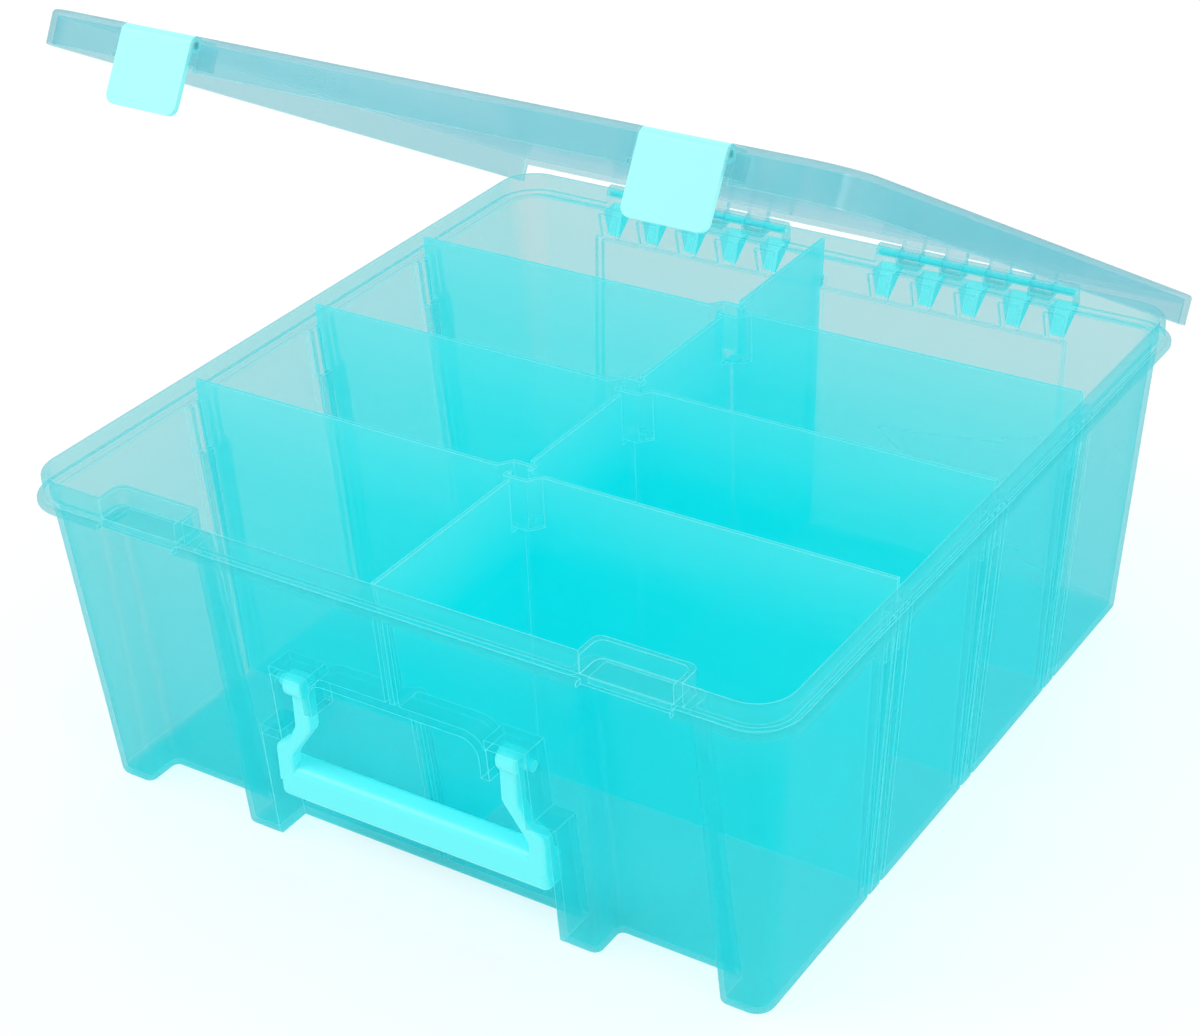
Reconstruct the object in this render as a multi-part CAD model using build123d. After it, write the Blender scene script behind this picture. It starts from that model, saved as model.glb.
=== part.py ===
from build123d import *
import os

# A lidded storage satchel of thin moulded plastic: a drafted bin, a hinged
# lid with two snap latches, a carrying handle and lift-out dividers.
# X runs along the front face, +Y is the back, +Z is up, and the origin is the
# middle of the bin's flat underside. Everything is in millimetres.

# overall sizes of the bin, measured over the rim band
rim_width = 350.0
rim_depth = 362.0
rim_height = 150.0
base_width = 324.0
base_depth = 337.0
rim_corner = 18.0
base_corner = 8.0

# wall sections of the moulded pieces
wall = 2.2
floor_thickness = 2.4
lid_wall = 2.2
lid_notch_wall = 1.6
divider_thickness = 1.8

# rim band with its outward lip
band_height = 12.5
band_step = 3.0
band_wall = 2.6
lip_reach = 3.0
lip_thickness = 2.5

# clearances
slide_gap = 0.35
lid_gap = 0.8
pin_gap = 0.06
latch_gap = 0.5
notch_gap = 0.5

# latch notches in the front of the rim, measured from the middle
notch_inner = 94.5
notch_outer = 133.5
notch_setback = 13.0
notch_corner = 4.0
shelf_rise = 4.5
shelf_skirt = 2.0

# front panels set back between the legs
panel_setback_base = 16.5
panel_setback_top = 11.0
panel_inner_top = 90.0
panel_outer_top = 137.0
panel_inner_base = 88.0
panel_outer_base = 141.0
panel_corner = 2.0
leg_corner = 4.0

# recess for the carrying handle
recess_half = 70.0
recess_height = 54.0
grasp_half = 41.0
grasp_top = 89.5
grasp_corner = 8.0
pocket_inner = 45.0
pocket_outer = 59.5
pocket_top = 87.5
tongue_bottom = 72.0

# corrugated slots for the cross dividers on the side walls
divider_middle = 5.0
divider_pitch = 84.0
channel_depth_base = 1.2
channel_depth_top = 5.0
channel_lead_depth = 2.5
channel_lead = 22.0
ridge_width = 8.0

# guides for the long divider
guide_width = 2.0
guide_reach = 4.0

# hinge at the back
hinge_reach = 5.0
hinge_drop = 5.5
knuckle_radius = 4.0
pin_radius = 1.5
hinge_start = 25.0
hinge_end = 125.0
gusset_count = 5
lug_width = 11.0
knuckle_gap = 0.5
ledge_reach = 4.0
gusset_drop = 14.0
back_panel_half = 124.0
back_panel_setback = 3.0

# lid
lid_top_gap = 1.8
skirt_drop = 13.6
lid_corner = 20.0
lid_angle = 29.2

# latches
latch_length = 31.0
latch_thickness = 2.2
latch_barrel = 3.4
latch_setback = 2.8
latch_pin = 1.4
latch_pin_length = 3.2
latch_lean = 4.0
latch_rest = 6.0
hook_reach_in = 1.0
hook_rib = 2.2

# carrying handle
arm_inner = 46.5
arm_outer = 54.5
handle_half = 66.0
grip_bottom = 22.0
grip_height = 17.0
grip_depth = 13.0
arm_depth = 6.0
pivot_height = 81.0
pivot_setback = 14.0
handle_setback = 11.5
knob_radius = 5.4
pivot_pin = 2.4
jog_top = 61.0
jog_drop = 4.5
handle_gap = 0.8
arm_bend = 5.0
arm_round = 1.2
grip_round = 3.0
knob_round = 1.8

# dividers
divider_drop = 0.6
hook_notch_half = 9.0
hook_height = 23.0
hook_offset = 5.6
hook_start = 11.0
hook_bend = 6.6
hook_tip = 3.4
hook_clear = 0.6
notch_floor_gap = 1.0

band_bottom = rim_height - band_height
shelf_height = band_bottom + shelf_rise
hinge_height = rim_height - hinge_drop
divider_top = rim_height - divider_drop
far = 400.0
divider_places = [divider_middle + divider_pitch * step for step in (-1, 0, 1)]
channel_width = divider_thickness + 2 * slide_gap
ridge_offset = (channel_width + ridge_width) / 2
hinge_y = rim_depth / 2 + hinge_reach
lid_front = rim_depth / 2 + lid_gap + lid_wall
lid_half = rim_width / 2 + lid_gap + lid_wall
lid_under = rim_height + lid_top_gap
lid_top = lid_under + lid_wall
skirt_bottom = lid_top - skirt_drop
notch_wall_y = -(rim_depth / 2 - notch_setback)
latch_y = -(lid_front - latch_setback)
latch_z = lid_top - latch_barrel
latch_room = notch_gap + lid_notch_wall
pivot_y = -(rim_depth / 2 - pivot_setback)
handle_front = -(rim_depth / 2 - handle_setback)


def half_width(z):
    """Half the bin's outer width at a height, between base and band."""
    top = rim_width / 2 - band_step
    return base_width / 2 + (top - base_width / 2) * z / band_bottom


def half_depth(z):
    """Half the bin's outer depth at a height, between base and band."""
    top = rim_depth / 2 - band_step
    return base_depth / 2 + (top - base_depth / 2) * z / band_bottom


def panel_depth(z):
    """How far the front's set-back panels stand behind its face."""
    return panel_setback_base + (panel_setback_top - panel_setback_base) * z / band_bottom


def panel_y(z):
    """Outer face of the set-back panels at a height."""
    return -half_depth(z) + panel_depth(z)


def rounded_slab(half_x, half_y, radius, low, high):
    """An upright slab with rounded corners, centred on the origin."""
    outline = Plane.XY.offset(low) * RectangleRounded(2 * half_x, 2 * half_y, radius)
    return extrude(outline, amount=high - low)


def tapered_body(inset, low, high):
    """The drafted body of the bin, drawn in by an inset all round."""
    sections = []
    for z in (low, high):
        share = z / band_bottom
        radius = base_corner + (rim_corner - band_step - base_corner) * share - inset
        size_x = 2 * (half_width(z) - inset)
        size_y = 2 * (half_depth(z) - inset)
        sections.append(Plane.XY.offset(z) * RectangleRounded(size_x, size_y, max(radius, 1.0)))
    return loft(sections, ruled=True)


def box_between(low, high):
    """A box from its low corner to its high corner."""
    size = [b - a for a, b in zip(low, high)]
    middle = [(a + b) / 2 for a, b in zip(low, high)]
    return Pos(*middle) * Box(*size)


def front_prism(outline):
    """Push a front-view outline through the front wall along Y."""
    drawn = Plane((0, -far, 0), x_dir=(1, 0, 0), z_dir=(0, 1, 0)) * Rot(180, 0, 0) * outline
    return extrude(drawn, amount=far, dir=(0, 1, 0))


def side_prism(points, start, length):
    """Extrude a Y-Z outline along X."""
    drawn = Plane((start, 0, 0), x_dir=(0, 1, 0), z_dir=(1, 0, 0)) * make_face(Polyline(*points, close=True))
    return extrude(drawn, amount=length, dir=(1, 0, 0))


def before_panel(grow):
    """Everything in front of the set-back panels' plane, moved in by a wall."""
    low, high = -20.0, rim_height + 20
    points = [(-far, low), (panel_y(low) + grow, low), (panel_y(high) + grow, high), (-far, high)]
    return side_prism(points, -far, 2 * far)


def panel_outline(side, grow):
    """Front view of one set-back panel below a latch."""
    low = -20.0
    top = band_bottom + grow
    share = (low - band_bottom) / band_bottom
    inner_low = panel_inner_top + (panel_inner_top - panel_inner_base) * share
    outer_low = panel_outer_top + (panel_outer_top - panel_outer_base) * share
    points = [
        (side * (inner_low - grow), low),
        (side * (panel_inner_top - grow), top),
        (side * (panel_outer_top + grow), top),
        (side * (outer_low + grow), low),
    ]
    return make_face(Polyline(*points, close=True))


def recess_outline(grow):
    """Front view of the handle recess with its two pivot pockets."""
    low = -20.0
    lower = Pos(0, (low + recess_height) / 2) * Rectangle(2 * recess_half, recess_height - low)
    pockets_low = (recess_height - 10 + tongue_bottom) / 2
    merged = Pos(0, pockets_low) * Rectangle(2 * pocket_outer, tongue_bottom - recess_height + 10)
    grasp_height = grasp_top - recess_height + 10
    grasp = Pos(0, grasp_top - grasp_height / 2) * RectangleRounded(2 * grasp_half, grasp_height, grasp_corner)
    outline = lower + merged + grasp
    for side in (-1, 1):
        middle = side * (pocket_inner + pocket_outer) / 2
        height = pocket_top - recess_height + 10
        outline += Pos(middle, pocket_top - height / 2) * Rectangle(pocket_outer - pocket_inner, height)
    return offset(outline, amount=grow, kind=Kind.INTERSECTION) if grow else outline


def recess_volume(grow):
    """The volume of the handle recess, grown inward for the cavity."""
    return front_prism(recess_outline(grow)) & before_panel(grow)


def with_panels(body, grow):
    """Set the front back under the latches, with rounded steps beside the legs."""
    for side in (-1, 1):
        body -= front_prism(panel_outline(side, grow)) & before_panel(grow)
    body = fillet(step_edges(body, -1), max(leg_corner - grow, 1.0))
    return fillet(step_edges(body, 1), panel_corner + grow)


def step_edges(body, side):
    """Upright edges of the front steps, at the legs' face or at the panels."""
    height = band_bottom / 2
    middle = panel_depth(height) / 2 - half_depth(height)
    inner = panel_inner_base - 2 * wall
    outer = panel_outer_base + 2 * wall
    chosen = []
    for edge in body.edges():
        place = edge.center()
        upright = edge.bounding_box().size.Z > height
        if upright and inner < abs(place.X) < outer and 0 < side * (place.Y - middle) < panel_depth(0):
            chosen.append(edge)
    return chosen


def channel_ridges(grow):
    """Pairs of vertical grooves in the side walls, grown for the ridges inside."""
    volumes = []
    lead = band_bottom - channel_lead
    half = ridge_width / 2 - wall + grow
    for side in (-1, 1):
        deep = [
            (half_width(-20) + far, -20.0),
            (half_width(-20) - channel_depth_base - grow, -20.0),
            (half_width(lead) - channel_depth_top - grow, lead + grow),
            (half_width(lead) + far, lead + grow),
        ]
        shallow = [
            (half_width(0) + far, 0.0),
            (half_width(0) - channel_depth_base - grow, 0.0),
            (half_width(band_bottom) - channel_lead_depth - grow, band_bottom + grow),
            (half_width(band_bottom) + far, band_bottom + grow),
        ]
        for points in (deep, shallow):
            face = make_face(Polyline(*[(side * x, z) for x, z in points], close=True))
            for place in divider_places:
                for offset_y in (-ridge_offset, ridge_offset):
                    start = Plane((0, place + offset_y - half, 0), x_dir=(1, 0, 0), z_dir=(0, -1, 0))
                    volumes.append(extrude(start * face, amount=2 * half, dir=(0, 1, 0)))
    return volumes


def back_panel(grow):
    """The shallow panel set into the middle of the back wall."""
    low = -20.0
    top = band_bottom - gusset_drop
    points = [
        (far, low),
        (half_depth(low) - back_panel_setback - grow, low),
        (half_depth(top) - back_panel_setback - grow, top + grow),
        (far, top + grow),
    ]
    reach = back_panel_half + grow
    return side_prism(points, -reach, 2 * reach)


def notch_volume(side, grow):
    """The latch notch that sets the rim back above its shelf."""
    middle = side * (notch_inner + notch_outer) / 2
    width = notch_outer - notch_inner + 2 * grow
    back = notch_wall_y + grow
    low = shelf_height - grow
    depth = 60.0
    outline = Plane.XY.offset(low) * Pos(middle, back - depth / 2) * RectangleRounded(width, depth, notch_corner)
    return extrude(outline, amount=rim_height + 5 - low)


def hinge_ledges():
    """Ledges behind the rim that carry the hinge lugs."""
    pieces = []
    back = rim_depth / 2
    outer = back + hinge_reach + ledge_reach
    for side in (-1, 1):
        low_x = min(side * hinge_start, side * hinge_end)
        ledge = box_between(
            (low_x, back - band_wall, band_bottom),
            (low_x + hinge_end - hinge_start, outer, band_bottom + lip_thickness),
        )
        pieces.append(ledge)
        for middle in lug_places(side):
            pieces.append(gusset(middle, outer))
            pieces.append(hinge_lug(middle))
    return pieces


def lug_places(side):
    """Middles of the hinge lugs in one group."""
    span = hinge_end - hinge_start - lug_width
    step = span / (gusset_count - 1)
    first = hinge_start + lug_width / 2
    return [side * (first + step * number) for number in range(gusset_count)]


def gusset(middle, outer):
    """A tapered gusset below the hinge ledge."""
    bottom = band_bottom - gusset_drop
    top_y = outer
    inner = half_depth(bottom) - back_panel_setback - wall / 2
    low_outer = half_depth(bottom) + 0.8
    top = Plane.XY.offset(band_bottom) * Pos(middle, (inner + top_y) / 2) * Rectangle(lug_width, top_y - inner)
    foot = Plane.XY.offset(bottom) * Pos(middle, (inner + low_outer) / 2)
    return loft([foot * Rectangle(lug_width * 0.6, low_outer - inner), top], ruled=True)


def hinge_lug(middle):
    """One hinge lug of the bin, bored for its pin."""
    start = middle - lug_width / 2
    barrel = extrude(
        Plane((start, hinge_y, hinge_height), x_dir=(0, 1, 0), z_dir=(1, 0, 0)) * Circle(knuckle_radius),
        amount=lug_width,
    )
    web = box_between(
        (start, rim_depth / 2 - band_wall, band_bottom),
        (start + lug_width, hinge_y, hinge_height),
    )
    foot = box_between(
        (start, hinge_y - 1, band_bottom),
        (start + lug_width, hinge_y + knuckle_radius, hinge_height),
    )
    return barrel + web + foot


def pin_bore(start, end, radius):
    """A bore along the hinge axis."""
    drawn = Plane((start, hinge_y, hinge_height), x_dir=(0, 1, 0), z_dir=(1, 0, 0)) * Circle(radius)
    return extrude(drawn, amount=end - start)


def rim_rings():
    """The rim band and its lip, as solid slabs."""
    band = rounded_slab(rim_width / 2, rim_depth / 2, rim_corner, band_bottom, rim_height)
    lip = rounded_slab(
        rim_width / 2 + lip_reach,
        rim_depth / 2 + lip_reach,
        rim_corner + lip_reach,
        band_bottom,
        band_bottom + lip_thickness,
    )
    band = fillet(band.faces().sort_by(Axis.Z)[-1].edges(), 1.0)
    lip = fillet(lip.edges().filter_by(GeomType.CIRCLE) + lip.edges().filter_by(GeomType.LINE).filter_by(
        Axis.Z, reverse=True), 0.8)
    return band + lip


def divider_guides():
    """Ribs inside the front and back walls that hold the long divider's ends."""
    ribs = []
    offset_x = channel_width / 2 + guide_width / 2
    low = floor_thickness / 2
    reach = wall + guide_reach
    ledge = grasp_top + wall / 2
    top = band_bottom - 4
    step = band_bottom - gusset_drop + wall / 2
    front = [
        (panel_y(low) + wall / 2, low),
        (panel_y(ledge) + wall / 2, ledge),
        (-half_depth(ledge) + wall / 2, ledge),
        (-half_depth(top) + wall / 2, top),
        (-half_depth(top) + reach, top - guide_reach),
        (-half_depth(ledge) + reach, ledge + 2 * guide_reach),
        (panel_y(ledge) + reach, ledge),
        (panel_y(low) + reach, low),
    ]
    back = [
        (half_depth(low) - back_panel_setback - wall / 2, low),
        (half_depth(step) - back_panel_setback - wall / 2, step),
        (half_depth(top) - wall / 2, step),
        (half_depth(top) - wall / 2, top),
        (half_depth(top) - reach, top - guide_reach),
        (half_depth(low) - back_panel_setback - reach, low),
    ]
    for side in (-1, 1):
        for points in (front, back):
            ribs.append(side_prism(points, side * offset_x - guide_width / 2, guide_width))
    return ribs


def bin_outside():
    """The bin's outer form, before it is hollowed."""
    body = with_panels(tapered_body(0, 0, band_bottom), 0)
    body = fillet(body.faces().sort_by(Axis.Z)[0].edges(), 2.5)
    body += rim_rings()
    body -= recess_volume(0)
    for side in (-1, 1):
        body -= notch_volume(side, 0)
        low_x = min(side * notch_inner, side * notch_outer)
        width = notch_outer - notch_inner
        body -= box_between((low_x, -far, 0), (low_x + width, -rim_depth / 2, rim_height + 5))
        body -= box_between(
            (low_x + shelf_skirt, -rim_depth / 2 + shelf_skirt, band_bottom - 1),
            (low_x + width - shelf_skirt, panel_y(band_bottom), shelf_height - wall),
        )
    for volume in channel_ridges(0):
        body -= volume & box_between((-far, -far, -30), (far, far, band_bottom))
    body -= back_panel(0)
    return body


def bin_cavity():
    """The space inside the bin, leaving walls of even thickness."""
    step_height = band_bottom + wall
    lower = with_panels(tapered_body(wall, floor_thickness, step_height), wall)
    upper = rounded_slab(
        rim_width / 2 - band_wall,
        rim_depth / 2 - band_wall,
        rim_corner - band_wall,
        step_height,
        rim_height + 5,
    )
    cavity = lower + upper - recess_volume(wall)
    for side in (-1, 1):
        cavity -= notch_volume(side, wall)
    for volume in channel_ridges(wall):
        cavity -= volume
    cavity -= back_panel(wall)
    return cavity


def pivot_holes():
    """Holes in the pocket walls for the handle's pivot pins."""
    drawn = Plane((-recess_half, pivot_y, pivot_height), x_dir=(0, 1, 0), z_dir=(1, 0, 0))
    hole = extrude(drawn * Circle(pivot_pin + pin_gap), amount=2 * recess_half)
    middle = box_between((-pocket_outer + 1, -far, 0), (pocket_outer - 1, far, far))
    return hole - middle


def make_bin():
    """The moulded bin."""
    body = bin_outside() - bin_cavity()
    for rib in divider_guides():
        body += rib
    for piece in hinge_ledges():
        body += piece
    for side in (-1, 1):
        low_x = min(side * hinge_start, side * hinge_end)
        body -= pin_bore(low_x - 1, low_x + hinge_end - hinge_start + 1, pin_radius + pin_gap)
    body -= pivot_holes()
    return body


def make_long_divider():
    """The divider that runs from front to back, with three hook notches."""
    low = floor_thickness + slide_gap
    clear = wall + slide_gap
    front_top = -(rim_depth / 2 - band_wall - slide_gap)
    back_top = rim_depth / 2 - band_wall - slide_gap
    shoulder = band_bottom + wall + slide_gap
    ledge = grasp_top + wall + slide_gap
    step = band_bottom - gusset_drop + wall + slide_gap
    points = [
        (panel_y(low) + clear, low),
        (panel_y(ledge) + clear, ledge),
        (-half_depth(ledge) + clear, ledge),
        (-half_depth(shoulder) + clear, shoulder),
        (front_top + 1, divider_top),
        (back_top - 1, divider_top),
        (half_depth(shoulder) - clear, shoulder),
        (half_depth(step) - clear, step),
        (half_depth(step) - clear - back_panel_setback, step),
        (half_depth(low) - clear - back_panel_setback, low),
    ]
    plate = side_prism(points, -divider_thickness / 2, divider_thickness)
    for place in divider_places:
        plate -= box_between(
            (-5, place - hook_notch_half, divider_top - hook_height - notch_floor_gap),
            (5, place + hook_notch_half, divider_top + 5),
        )
    return plate


def hook_path(height):
    """Plan of a divider's hook: a jogged finger with a turned end."""
    points = [
        (-hook_start - 4, 0),
        (-hook_start, 0),
        (-hook_bend, hook_offset),
        (hook_tip, hook_offset),
        (hook_tip, divider_thickness + hook_clear),
    ]
    line = Polyline(*points)
    strip = offset(line, amount=divider_thickness / 2, kind=Kind.ARC)
    face = make_face(strip) if not isinstance(strip, Sketch) else strip
    return extrude(Plane.XY.offset(divider_top - height) * face, amount=height)


def make_cross_divider():
    """A cross divider of the left side, at the origin in Y."""
    low = floor_thickness + slide_gap
    clear = wall + slide_gap
    inner = -(divider_thickness / 2 + slide_gap)
    shoulder = band_bottom + wall
    points = [
        (-(half_width(low) - clear - 0.3), low),
        (-(half_width(shoulder) - clear - 0.3), shoulder),
        (-(half_width(shoulder) - clear - 0.3), divider_top),
        (-hook_start, divider_top),
        (-hook_start, divider_top - hook_height),
        (inner, divider_top - hook_height - notch_floor_gap - 2.0),
        (inner, low),
    ]
    start = Plane((0, -divider_thickness / 2, 0), x_dir=(1, 0, 0), z_dir=(0, -1, 0))
    face = make_face(Polyline(*points, close=True))
    plate = extrude(start * face, amount=divider_thickness, dir=(0, 1, 0))
    return plate + hook_path(hook_height)


def lid_notch(side, inset):
    """The form of the lid's notch, drawn in from the notch in the rim."""
    middle = side * (notch_inner + notch_outer) / 2
    width = notch_outer - notch_inner - 2 * inset
    back = notch_wall_y - inset
    depth = 60.0
    outline = Plane.XY.offset(skirt_bottom - 10) * Pos(middle, back - depth / 2)
    return extrude(outline * RectangleRounded(width, depth, notch_corner - inset), amount=40)


def lid_outside():
    """The lid's outer form."""
    back = rim_depth / 2 + lid_gap + lid_wall
    slab = rounded_slab(lid_half, lid_front, lid_corner, skirt_bottom, lid_top)
    square = box_between((-lid_half, 0, skirt_bottom), (lid_half, back, lid_top))
    body = slab + square
    return fillet(body.faces().sort_by(Axis.Z)[-1].edges(), 1.6)


def lid_inside():
    """The space under the lid's top plate, inside its skirt."""
    back = rim_depth / 2 + lid_gap
    half = lid_half - lid_wall
    slab = rounded_slab(half, lid_front - lid_wall, lid_corner - lid_wall, skirt_bottom - 5, lid_under)
    square = box_between((-half, 0, skirt_bottom - 5), (half, back, lid_under))
    return slab + square


def make_lid():
    """The lid, built closed over the rim."""
    inside = lid_inside()
    for side in (-1, 1):
        inside -= lid_notch(side, notch_gap)
    lid = lid_outside() - inside
    for side in (-1, 1):
        lid -= lid_notch(side, latch_room)
        low_x = min(side * notch_inner, side * notch_outer)
        lid -= box_between(
            (low_x, -far, 0),
            (low_x + notch_outer - notch_inner, notch_wall_y + wall, shelf_height + notch_gap),
        )
    back = rim_depth / 2
    reach = lid_half - lid_wall - lid_gap
    lid -= box_between((-reach, back - 5, 0), (reach, back + 10, hinge_height + 4.6))
    for side in (-1, 1):
        lid = lid + lid_hinge(side)
        low_x = min(side * hinge_start, side * hinge_end)
        lid -= pin_bore(low_x - 1, low_x + hinge_end - hinge_start + 1, pin_radius + pin_gap)
        lid = lid + latch_mount(side)
    return lid


def lid_hinge(side):
    """The lid's hinge knuckles in one group, with the tab that carries them."""
    places = sorted(lug_places(side))
    back = rim_depth / 2 + lid_gap
    low_x = min(side * hinge_start, side * hinge_end)
    tab = box_between(
        (low_x, back - 2, lid_under),
        (low_x + hinge_end - hinge_start, hinge_y + 2.2, lid_top - 0.3),
    )
    for first, second in zip(places, places[1:]):
        start = first + lug_width / 2 + knuckle_gap
        length = second - first - lug_width - 2 * knuckle_gap
        barrel = Plane((start, hinge_y, hinge_height), x_dir=(0, 1, 0), z_dir=(1, 0, 0))
        tab += extrude(barrel * Circle(knuckle_radius), amount=length)
        tab += box_between((start, hinge_y - 2, hinge_height), (start + length, hinge_y + 2, lid_under + 1))
    return tab


def latch_rod(start, end, radius):
    """A round bar or bore along the latch axis, between two places on X."""
    low = min(start, end)
    drawn = Plane((low, latch_y, latch_z), x_dir=(0, 1, 0), z_dir=(1, 0, 0)) * Circle(radius)
    return extrude(drawn, amount=abs(end - start))


def latch_mount(side):
    """Pins in the side walls of the lid's notch, on which a latch turns."""
    root = latch_room - lid_notch_wall / 2
    reach = latch_room + latch_gap + latch_pin_length
    inner = latch_rod(side * (notch_inner + root), side * (notch_inner + reach), latch_pin)
    outer = latch_rod(side * (notch_outer - root), side * (notch_outer - reach), latch_pin)
    return inner + outer


def make_latch(side):
    """One latch on the closed lid, swung out from its locked position to rest."""
    axis = Axis((0, latch_y, latch_z), (1, 0, 0))
    inner = side * (notch_inner + latch_room + latch_gap)
    outer = side * (notch_outer - latch_room - latch_gap)
    low_x = min(inner, outer)
    width = abs(outer - inner)
    front = latch_y - latch_barrel
    plate = box_between(
        (low_x, front, lid_top - latch_length),
        (low_x + width, front + latch_thickness, latch_z),
    )
    plate = fillet(plate.edges().filter_by(Axis.Y).group_by(Axis.Z)[0], 4.0)
    body = latch_rod(inner, outer, latch_barrel) + plate
    body = body.rotate(axis, latch_lean)
    rib_top = band_bottom - slide_gap
    rib_back = -rim_depth / 2 + hook_reach_in
    rib_front = front + latch_thickness / 2 + 1
    rib_outline = [
        (rib_front, rib_top - hook_rib - 1.5),
        (rib_front, rib_top),
        (rib_back, rib_top),
        (rib_back, rib_top - hook_rib + 0.6),
    ]
    body += side_prism(rib_outline, low_x + 1.5, width - 3.0)
    bore = latch_pin + pin_gap
    depth = latch_pin_length + 0.4
    body -= latch_rod(inner - side, inner + side * depth, bore)
    body -= latch_rod(outer + side, outer - side * depth, bore)
    return body.rotate(axis, -latch_rest)


def handle_arm(side):
    """One arm of the handle, which jogs out below its pocket."""
    corner_x = pocket_outer - handle_gap
    corner_z = recess_height - handle_gap
    inner_low = handle_half - (arm_outer - arm_inner)
    points = [
        (arm_inner, pivot_height),
        (arm_inner, jog_top),
        (inner_low, corner_z - jog_drop - (arm_outer - arm_inner) / 2),
        (inner_low, grip_bottom + grip_height / 2),
        (handle_half, grip_bottom + grip_height / 2),
        (handle_half, corner_z - jog_drop),
        (corner_x, corner_z),
        (arm_outer, jog_top),
        (arm_outer, pivot_height),
    ]
    start = Plane((0, handle_front, 0), x_dir=(1, 0, 0), z_dir=(0, -1, 0))
    outline = make_face(Polyline(*[(side * x, z) for x, z in points], close=True))
    outline = fillet(outline.vertices().sort_by(Axis.Y)[2:-2], arm_bend)
    arm = extrude(start * outline, amount=arm_depth, dir=(0, 1, 0))
    return fillet(arm.faces().sort_by(Axis.Y)[0].edges(), arm_round)


def handle_pivot(side):
    """The knob at the top of an arm, with the pin that enters the pocket wall."""
    knob_end = pocket_outer - handle_gap - 2
    low_x = min(side * arm_inner, side * knob_end)
    knob = Plane((low_x, pivot_y, pivot_height), x_dir=(0, 1, 0), z_dir=(1, 0, 0)) * Circle(knob_radius)
    pin_start = knob_end - 1
    pin_end = pocket_outer + wall
    low_pin = min(side * pin_start, side * pin_end)
    pin = Plane((low_pin, pivot_y, pivot_height), x_dir=(0, 1, 0), z_dir=(1, 0, 0)) * Circle(pivot_pin)
    barrel = extrude(knob, amount=knob_end - arm_inner)
    barrel = fillet(barrel.edges().filter_by(GeomType.CIRCLE), knob_round)
    return barrel + extrude(pin, amount=pin_end - pin_start)


def make_handle():
    """The carrying handle, folded down into its recess."""
    centre = (-handle_half, handle_front + grip_depth / 2, grip_bottom + grip_height / 2)
    section = Plane(centre, x_dir=(0, 1, 0), z_dir=(1, 0, 0)) * RectangleRounded(grip_depth, grip_height, 4.5)
    body = extrude(section, amount=2 * handle_half)
    ends = body.faces().sort_by(Axis.X)[0].edges() + body.faces().sort_by(Axis.X)[-1].edges()
    body = fillet(ends, grip_round)
    for side in (-1, 1):
        body = body + handle_arm(side) + handle_pivot(side)
    return body


def hinge_pin(side):
    """A straight hinge pin through one group of lugs and knuckles."""
    low_x = min(side * hinge_start, side * hinge_end)
    return pin_bore(low_x + 0.5, low_x + hinge_end - hinge_start - 0.5, pin_radius)


def opened(piece):
    """Turn a lid piece from closed to its half-open rest position."""
    axis = Axis((0, hinge_y, hinge_height), (1, 0, 0))
    return piece.rotate(axis, -lid_angle)


def write(name, piece):
    """Save one sub-part under its node name."""
    if isinstance(piece, ShapeList):
        piece = Compound(children=list(piece))
    export_step(piece, os.path.join("parts", name + ".step"))
    print(name, round(piece.volume), "mm3")


def main():
    os.makedirs("parts", exist_ok=True)
    write("bin", make_bin())
    write("lid", opened(make_lid()))
    write("latch_left", opened(make_latch(-1)))
    write("latch_right", opened(make_latch(1)))
    write("hinge_pin_left", hinge_pin(-1))
    write("hinge_pin_right", hinge_pin(1))
    write("carrying_handle", make_handle())
    write("long_divider", make_long_divider())
    left = make_cross_divider()
    right = left.rotate(Axis.Z, 180)
    for name, place in zip(("front", "middle", "rear"), divider_places):
        write("cross_divider_left_" + name, Pos(0, place, 0) * left)
        write("cross_divider_right_" + name, Pos(0, place, 0) * right)


main()
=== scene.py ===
import math

import bmesh
import bpy
from mathutils import Euler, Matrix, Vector

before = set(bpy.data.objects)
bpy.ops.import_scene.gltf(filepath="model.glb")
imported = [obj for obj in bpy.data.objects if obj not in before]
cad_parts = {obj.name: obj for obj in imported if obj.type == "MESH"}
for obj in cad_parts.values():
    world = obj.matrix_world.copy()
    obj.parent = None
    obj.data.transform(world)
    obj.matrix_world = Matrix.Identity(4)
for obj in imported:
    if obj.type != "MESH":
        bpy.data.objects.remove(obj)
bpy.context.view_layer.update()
print("loaded", len(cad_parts), "CAD nodes")

mixA, mixB, mixResult = 6, 7, 2     # the colour sockets of a Mix node


def hexColour(text):
    # sRGB hex to the linear values Blender works in
    parts = [int(text[i:i + 2], 16) / 255 for i in (1, 3, 5)]
    linear = [p / 12.92 if p <= 0.04045 else ((p + 0.055) / 1.055) ** 2.4 for p in parts]
    return (*linear, 1.0)


def addNode(tree, kind, settings=None, links=None, values=None):
    # one node: its settings, what feeds it, and its socket values by name or number
    node = tree.nodes.new(kind)
    for key, value in (settings or {}).items():
        setattr(node, key, value)
    for socket, source in (links or {}).items():
        tree.links.new(source, node.inputs[socket])
    for socket, value in (values or {}).items():
        node.inputs[socket].default_value = value
    return node


def startMaterial(name):
    material = bpy.data.materials.new(name)
    material.use_nodes = True
    material.node_tree.nodes.clear()
    return material, material.node_tree


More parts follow.
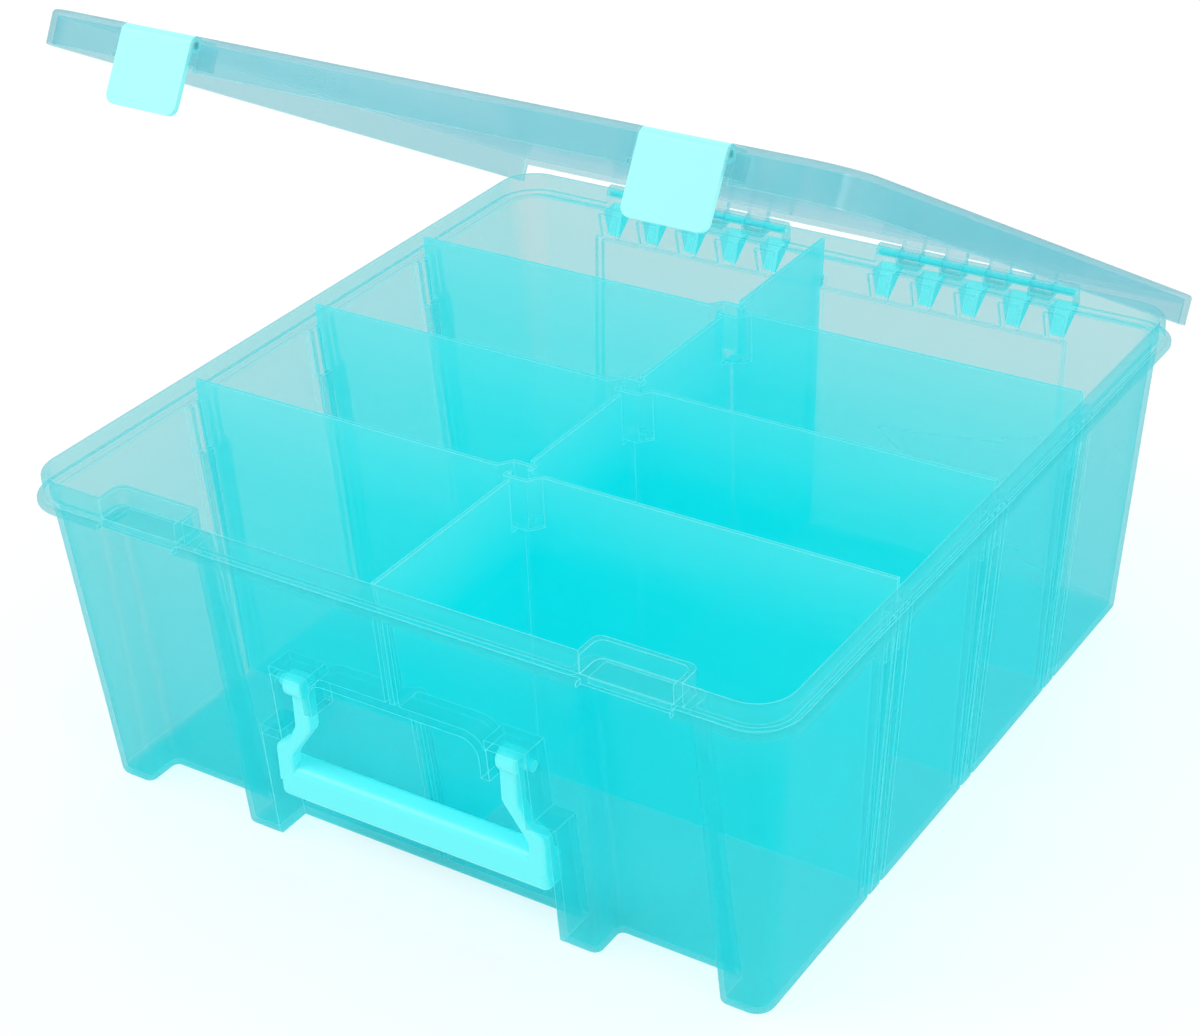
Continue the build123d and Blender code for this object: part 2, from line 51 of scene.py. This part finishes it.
clearPlastic = {
    "flowSize": 0.05,                       # metres between the faint flow marks of the moulding
    "flowDetail": 3.0, "flowRough": 0.5,
    "flowBump": 0.06, "flowDepth": 0.001,   # strength, and height in metres
    "flowTint": 0.3,                        # how far the flow marks shift the tint
    "glossiest": 0.8, "dullest": 1.25,      # times a piece's roughness, along the flow marks
    "slantBlend": 0.35,                     # how soon a wall counts as seen along it
    "edgeWidth": 0.0008,                    # metres of painted paler highlight line beside an edge
    "edgeSamples": 4,
    "edgeStart": 0.99, "edgeFull": 0.86,    # cosines of the turn where the line starts and is full
    "edgeHide": 0.72,
    "solidHide": 0.8,                       # a gusset is solid plastic and hides more than a wall
    "fadeBack": 0.0008, "fadeDown": 0.0004, # metres over which that sets in
    "ior": 1.49,                            # polypropylene
}


def makeClearPlastic(name, look):
    # injection moulded polypropylene tinted aqua: a glossy skin over a milky wall that
    # passes and spreads the light, and hides more where the eye looks along it
    material, tree = startMaterial(name)
    place = addNode(tree, "ShaderNodeTexCoord")
    stretched = addNode(tree, "ShaderNodeVectorMath", {"operation": "MULTIPLY"},
                        links={0: place.outputs["Object"]}, values={1: look["streak"]})
    flow = addNode(tree, "ShaderNodeTexNoise", links={"Vector": stretched.outputs["Vector"]},
                   values={"Scale": 1 / clearPlastic["flowSize"],
                           "Detail": clearPlastic["flowDetail"],
                           "Roughness": clearPlastic["flowRough"]})
    shine = addNode(tree, "ShaderNodeMapRange", links={"Value": flow.outputs["Fac"]},
                    values={"To Min": look["rough"] * clearPlastic["glossiest"],
                            "To Max": look["rough"] * clearPlastic["dullest"]})
    relief = addNode(tree, "ShaderNodeBump", links={"Height": flow.outputs["Fac"]},
                     values={"Strength": clearPlastic["flowBump"],
                             "Distance": clearPlastic["flowDepth"]})
    slant = addNode(tree, "ShaderNodeLayerWeight", values={"Blend": clearPlastic["slantBlend"]})
    flat = addNode(tree, "ShaderNodeMapRange", links={"Value": slant.outputs["Facing"]},
                   values={"To Min": look["facing"], "To Max": look["edge"]})

    # painted highlight: the narrow edges of a moulding gather light, so a paler colour is painted
    # in lines beside them
    rounded = addNode(tree, "ShaderNodeBevel", {"samples": clearPlastic["edgeSamples"]},
                      values={"Radius": clearPlastic["edgeWidth"]})
    sharp = addNode(tree, "ShaderNodeNewGeometry")
    turn = addNode(tree, "ShaderNodeVectorMath", {"operation": "DOT_PRODUCT"},
                   links={0: rounded.outputs["Normal"], 1: sharp.outputs["Normal"]})
    edgeHideAndHighlight = addNode(tree, "ShaderNodeMapRange", links={"Value": turn.outputs["Value"]},
                   values={"From Min": clearPlastic["edgeStart"],
                           "From Max": clearPlastic["edgeFull"],
                           "To Min": 0, "To Max": clearPlastic["edgeHide"]})

    # solid plastic behind the back wall and under the rim: the gussets at the hinge
    axes = addNode(tree, "ShaderNodeSeparateXYZ", links={"Vector": place.outputs["Object"]})
    behind = addNode(tree, "ShaderNodeMapRange", links={"Value": axes.outputs["Y"]},
                     values={"From Min": look["solidPast"],
                             "From Max": look["solidPast"] + clearPlastic["fadeBack"]})
    below = addNode(tree, "ShaderNodeMapRange", links={"Value": axes.outputs["Z"]},
                    values={"From Min": look["solidUnder"],
                            "From Max": look["solidUnder"] - clearPlastic["fadeDown"],
                            "To Max": clearPlastic["solidHide"]})
    solid = addNode(tree, "ShaderNodeMath", {"operation": "MULTIPLY"},
                    links={0: behind.outputs["Result"], 1: below.outputs["Result"]})
    most = addNode(tree, "ShaderNodeMath", {"operation": "MAXIMUM"},
                   links={0: flat.outputs["Result"], 1: edgeHideAndHighlight.outputs["Result"]})
    hide = addNode(tree, "ShaderNodeMath", {"operation": "MAXIMUM"},
                   links={0: most.outputs["Value"], 1: solid.outputs["Value"]})

    # painted light: the tint is painted paler near the top, where more light enters through the
    # edges, and it is a little uneven where the plastic flowed
    paintedLightFall = addNode(tree, "ShaderNodeMapRange", links={"Value": axes.outputs["Z"]},
                   values={"From Min": look["paintedLightAbove"], "From Max": look["fullBelow"],
                           "To Min": -clearPlastic["flowTint"] / 2,
                           "To Max": 1 - clearPlastic["flowTint"] / 2})
    flowAndPaintedLight = addNode(tree, "ShaderNodeMath", {"operation": "MULTIPLY_ADD", "use_clamp": True},
                     links={0: flow.outputs["Fac"], 2: paintedLightFall.outputs["Result"]},
                     values={1: clearPlastic["flowTint"]})
    flowTintAndPaintedLight = addNode(tree, "ShaderNodeMix", {"data_type": "RGBA"},
                   links={"Factor": flowAndPaintedLight.outputs["Value"]},
                   values={mixA: hexColour(look["top"]), mixB: hexColour(look["body"])})
    # looking along a wall the eye meets more of the tint
    deep = addNode(tree, "ShaderNodeMix", {"data_type": "RGBA"},
                   links={"Factor": slant.outputs["Facing"], mixA: flowTintAndPaintedLight.outputs[mixResult]},
                   values={mixB: hexColour(look["along"])})
    # painted highlight: the paler colour laid along the edge lines, over the painted lighter top
    colourWithPaintedLight = addNode(tree, "ShaderNodeMix", {"data_type": "RGBA"},
                    links={"Factor": edgeHideAndHighlight.outputs["Result"], mixA: deep.outputs[mixResult]},
                    values={mixB: hexColour(look["rim"])})

    skin = addNode(tree, "ShaderNodeBsdfPrincipled",
                   links={"Base Color": colourWithPaintedLight.outputs[mixResult],
                          "Roughness": shine.outputs["Result"],
                          "Normal": relief.outputs["Normal"]},
                   values={"IOR": clearPlastic["ior"]})
    spread = addNode(tree, "ShaderNodeBsdfTranslucent",
                     links={"Color": colourWithPaintedLight.outputs[mixResult]})
    wall = addNode(tree, "ShaderNodeMixShader",
                   links={1: skin.outputs["BSDF"], 2: spread.outputs["BSDF"]},
                   values={"Fac": look["glow"]})
    through = addNode(tree, "ShaderNodeBsdfTransparent",
                      values={"Color": hexColour(look["seen"])})
    both = addNode(tree, "ShaderNodeMixShader",
                   links={"Fac": hide.outputs["Value"], 1: through.outputs["BSDF"],
                          2: wall.outputs["Shader"]})
    # light reaches the inside through the walls and comes out aqua
    path = addNode(tree, "ShaderNodeLightPath")
    passing = addNode(tree, "ShaderNodeBsdfTransparent",
                      values={"Color": hexColour(look["lit"])})
    surface = addNode(tree, "ShaderNodeMixShader",
                      links={"Fac": path.outputs["Is Shadow Ray"], 1: both.outputs["Shader"],
                             2: passing.outputs["BSDF"]})
    addNode(tree, "ShaderNodeOutputMaterial", links={"Surface": surface.outputs["Shader"]})
    return material


# the tub's thin walls: clear and glossy, and brighter aqua the more of them lie behind
# each other
binLook = {
    "top": "#70fafa", "body": "#0cf6f8",    # painted lighter tint near the rim, where more light falls, and the tint in the walls
    "paintedLightAbove": 0.15, "fullBelow": 0.115,  # heights in metres over which the painted light fades into the tint
    "along": "#04cfdc",                     # seen along a wall
    "rim": "#c4fcfd",                       # painted highlight lines beside edges
    "seen": "#f5fafa", "lit": "#dafeff",    # what passes to the eye, and what passes of the lamps
    "facing": 0.1, "edge": 0.52,            # how much a wall hides, seen straight on and along it
    "rough": 0.18, "glow": 0.5,             # of the skin, and share of light spread through
    "streak": (1, 1, 1),                    # flow marks packed closer along an axis
    "solidPast": 0.1785,                    # metres back, behind the wall, where the gussets start
    "solidUnder": 0.1378,                   # metres up, just under the rim's lip
}
binPlastic = makeClearPlastic("aquaPolypropyleneBin", binLook)

# the lid's skirt is seen nearly along its wall, so it looks greyer and denser than the tub
lidLook = {
    # no painted lighter top on the lid: both colours are the same
    "top": "#a0eef4", "body": "#a0eef4",
    "paintedLightAbove": 0.15, "fullBelow": 0.1,
    "along": "#2ea8b8",
    # painted highlight lines beside edges
    "rim": "#c8f6f8",
    "seen": "#f5fafb", "lit": "#ecfeff",
    "facing": 0.14, "edge": 0.6,
    "rough": 0.12, "glow": 0.5,
    "streak": (1, 1, 1),
    "solidPast": 1.0, "solidUnder": 0.0,    # no gussets on it
}
lidPlastic = makeClearPlastic("aquaPolypropyleneLid", lidLook)

# the dividers are less polished: softer gloss, faint drawn-out marks and a full aqua,
# with painted light that pales it towards their tops
dividerLook = {
    # painted light: paler near the tops, full aqua below
    "top": "#84fafb", "body": "#02f6f8",
    "paintedLightAbove": 0.152, "fullBelow": 0.11,
    "along": "#06dce6",
    # painted highlight lines beside edges
    "rim": "#c4fcfd",
    "seen": "#f0fafa", "lit": "#dafeff",
    "facing": 0.26, "edge": 0.75,
    "rough": 0.35, "glow": 0.5,
    "streak": (1, 1, 5),
    "solidPast": 1.0, "solidUnder": 0.0,    # no gussets on them
}
dividerPlastic = makeClearPlastic("aquaPolypropyleneDivider", dividerLook)
print("clear plastics ready")


solidPlastic = {
    "flowSize": 0.03,                       # metres
    "flowDetail": 3.0, "flowRough": 0.5,
    "flowBump": 0.08, "flowDepth": 0.001,   # strength, and height in metres
    "glossiest": 0.85, "dullest": 1.2,      # times a piece's roughness, along the flow marks
    "ior": 1.49,                            # polypropylene
}


def makeSolidPlastic(name, look):
    # the same plastic moulded thick and full of pigment: pale, opaque and satin
    material, tree = startMaterial(name)
    place = addNode(tree, "ShaderNodeTexCoord")
    flow = addNode(tree, "ShaderNodeTexNoise", links={"Vector": place.outputs["Object"]},
                   values={"Scale": 1 / solidPlastic["flowSize"],
                           "Detail": solidPlastic["flowDetail"],
                           "Roughness": solidPlastic["flowRough"]})
    shine = addNode(tree, "ShaderNodeMapRange", links={"Value": flow.outputs["Fac"]},
                    values={"To Min": look["rough"] * solidPlastic["glossiest"],
                            "To Max": look["rough"] * solidPlastic["dullest"]})
    relief = addNode(tree, "ShaderNodeBump", links={"Height": flow.outputs["Fac"]},
                     values={"Strength": solidPlastic["flowBump"],
                             "Distance": solidPlastic["flowDepth"]})
    skin = addNode(tree, "ShaderNodeBsdfPrincipled",
                   links={"Roughness": shine.outputs["Result"],
                          "Normal": relief.outputs["Normal"]},
                   values={"Base Color": hexColour(look["colour"]),
                           "IOR": solidPlastic["ior"]})
    addNode(tree, "ShaderNodeOutputMaterial", links={"Surface": skin.outputs["BSDF"]})
    return material


latchLook = {"colour": "#9df4f2", "rough": 0.35}
latchPlastic = makeSolidPlastic("aquaPolypropyleneLatch", latchLook)

handleLook = {"colour": "#67f4f6", "rough": 0.3}
handlePlastic = makeSolidPlastic("aquaPolypropyleneHandle", handleLook)

pinLook = {"colour": "#c8f4f6", "rough": 0.3}
pinPlastic = makeSolidPlastic("palePolypropylenePin", pinLook)
print("solid plastics ready")

pieceMaterials = {
    "bin": binPlastic, "lid": lidPlastic,
    "latch_left": latchPlastic, "latch_right": latchPlastic,
    "carrying_handle": handlePlastic,
    "hinge_pin_left": pinPlastic, "hinge_pin_right": pinPlastic,
}
for name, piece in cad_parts.items():
    piece.data.materials.clear()
    piece.data.materials.append(pieceMaterials.get(name, dividerPlastic))
    for face in piece.data.polygons:
        face.material_index = 0
print("materials set")

floorLook = {
    "size": 6,                      # metres, of the grid it is made from
    "drop": 0.0004,                 # metres under the case, so that no two faces coincide
    "open": "#fafafa",              # paper seen past the case
    "throughPlastic": "#d2d6d8",    # paper seen through it, painted a pale grey shade
    "rough": 0.8,
    "whiteShare": 0.6,              # how far it turns plain white where it is seen in the open
    "whiteStrength": 1.0,
}


def makeFloorPaper():
    # matt studio paper: white in the open, with the case's soft shadow still on it, and
    # painted a shade of pale grey where it is seen through the plastic
    material, tree = startMaterial("paperFloor")
    path = addNode(tree, "ShaderNodeLightPath")
    layers = addNode(tree, "ShaderNodeMath", {"operation": "MINIMUM"},
                     links={0: path.outputs["Transparent Depth"]}, values={1: 1.0})
    throughPlastic = addNode(tree, "ShaderNodeMath", {"operation": "MULTIPLY"},
                             links={0: path.outputs["Is Camera Ray"],
                                    1: layers.outputs["Value"]})
    inTheOpen = addNode(tree, "ShaderNodeMath", {"operation": "SUBTRACT"},
                        links={0: path.outputs["Is Camera Ray"],
                               1: throughPlastic.outputs["Value"]})
    mirrored = addNode(tree, "ShaderNodeMath", {"operation": "ADD"},
                       links={0: path.outputs["Is Glossy Ray"],
                              1: path.outputs["Is Transmission Ray"]})
    bright = addNode(tree, "ShaderNodeMath", {"operation": "ADD", "use_clamp": True},
                     links={0: inTheOpen.outputs["Value"], 1: mirrored.outputs["Value"]})
    share = addNode(tree, "ShaderNodeMath", {"operation": "MULTIPLY"},
                    links={0: bright.outputs["Value"]}, values={1: floorLook["whiteShare"]})
    # painted shade: the paper turns pale grey where it is seen through the plastic
    tone = addNode(tree, "ShaderNodeMix", {"data_type": "RGBA"},
                   links={"Factor": throughPlastic.outputs["Value"]},
                   values={mixA: hexColour(floorLook["open"]),
                           mixB: hexColour(floorLook["throughPlastic"])})
    paper = addNode(tree, "ShaderNodeBsdfPrincipled",
                    links={"Base Color": tone.outputs[mixResult]},
                    values={"Roughness": floorLook["rough"]})
    white = addNode(tree, "ShaderNodeEmission",
                    values={"Strength": floorLook["whiteStrength"]})
    both = addNode(tree, "ShaderNodeMixShader",
                   links={"Fac": share.outputs["Value"], 1: paper.outputs["BSDF"],
                          2: white.outputs["Emission"]})
    addNode(tree, "ShaderNodeOutputMaterial", links={"Surface": both.outputs["Shader"]})
    return material


def makeFloor():
    mesh = bpy.data.meshes.new("studioFloor")
    shape = bmesh.new()
    bmesh.ops.create_grid(shape, x_segments=1, y_segments=1, size=floorLook["size"])
    bmesh.ops.translate(shape, verts=shape.verts, vec=(0, 0, -floorLook["drop"]))
    shape.to_mesh(mesh)
    shape.free()
    mesh.materials.append(makeFloorPaper())
    floor = bpy.data.objects.new("studioFloor", mesh)
    bpy.context.scene.collection.objects.link(floor)


makeFloor()
print("floor ready")

# square soft lamps: places and targets in metres
lamps = {
    "softLampLeft": {"place": (-1.6, -1.2, 1.9), "target": (0, 0, 0.1),
                     "side": 1.4, "watts": 22},
    "softLampRight": {"place": (2.3, -0.89, 0.97), "target": (0.1, -0.1, 0.2),
                      "side": 0.55, "watts": 13},
    "softLampBack": {"place": (0.2, 1.9, 1.9), "target": (0, 0, 0.1),
                     "side": 1.6, "watts": 18},
}


def addLamp(name, setup):
    data = bpy.data.lights.new(name, "AREA")
    data.shape = "SQUARE"
    data.size = setup["side"]
    data.energy = setup["watts"]
    lamp = bpy.data.objects.new(name, data)
    bpy.context.scene.collection.objects.link(lamp)
    lamp.location = setup["place"]
    aim = Vector(setup["target"]) - Vector(setup["place"])
    lamp.rotation_euler = aim.to_track_quat("-Z", "Y").to_euler()


for name, setup in lamps.items():
    addLamp(name, setup)

paleRoom = {
    "colour": "#ffffff",
    "lighting": 0.72,               # strength of the room's light on the case
    "seen": 1.0,                    # strength where the camera or a reflection meets the room
}


def makeRoom():
    # an even white room: white to the eye and in the gloss, dimmer as a light
    world = bpy.data.worlds.new("paleRoom")
    bpy.context.scene.world = world
    world.use_nodes = True
    tree = world.node_tree
    tree.nodes.clear()
    colour = hexColour(paleRoom["colour"])
    room = addNode(tree, "ShaderNodeBackground",
                   values={"Color": colour, "Strength": paleRoom["lighting"]})
    backdrop = addNode(tree, "ShaderNodeBackground",
                       values={"Color": colour, "Strength": paleRoom["seen"]})
    path = addNode(tree, "ShaderNodeLightPath")
    mirrored = addNode(tree, "ShaderNodeMath", {"operation": "ADD"},
                       links={0: path.outputs["Is Glossy Ray"],
                              1: path.outputs["Is Transmission Ray"]})
    white = addNode(tree, "ShaderNodeMath", {"operation": "ADD", "use_clamp": True},
                    links={0: path.outputs["Is Camera Ray"], 1: mirrored.outputs["Value"]})
    around = addNode(tree, "ShaderNodeMixShader",
                     links={"Fac": white.outputs["Value"], 1: room.outputs["Background"],
                            2: backdrop.outputs["Background"]})
    addNode(tree, "ShaderNodeOutputWorld", links={"Surface": around.outputs["Shader"]})


makeRoom()
print("lamps and room ready")

cameraSetup = {
    "place": (0.5270, -0.8074, 0.6502),     # metres
    "angles": (59.698, 2.226, 32.594),      # degrees, XYZ
    "lens": 76.94, "sensorWidth": 36,       # millimetres
    "clipStart": 0.01,                      # metres
}
cameraData = bpy.data.cameras.new("photoCamera")
cameraData.lens = cameraSetup["lens"]
cameraData.sensor_width = cameraSetup["sensorWidth"]
cameraData.sensor_fit = "HORIZONTAL"
cameraData.clip_start = cameraSetup["clipStart"]
camera = bpy.data.objects.new("photoCamera", cameraData)
bpy.context.scene.collection.objects.link(camera)
camera.location = cameraSetup["place"]
camera.rotation_euler = Euler([math.radians(a) for a in cameraSetup["angles"]], "XYZ")
bpy.context.scene.camera = camera

# a look through the whole case crosses many thin walls
lightPaths = {"max_bounces": 32, "transmission_bounces": 32, "transparent_max_bounces": 64}
for key, value in lightPaths.items():
    setattr(bpy.context.scene.cycles, key, value)
bpy.context.scene.view_settings.view_transform = "Standard"
print("camera ready")
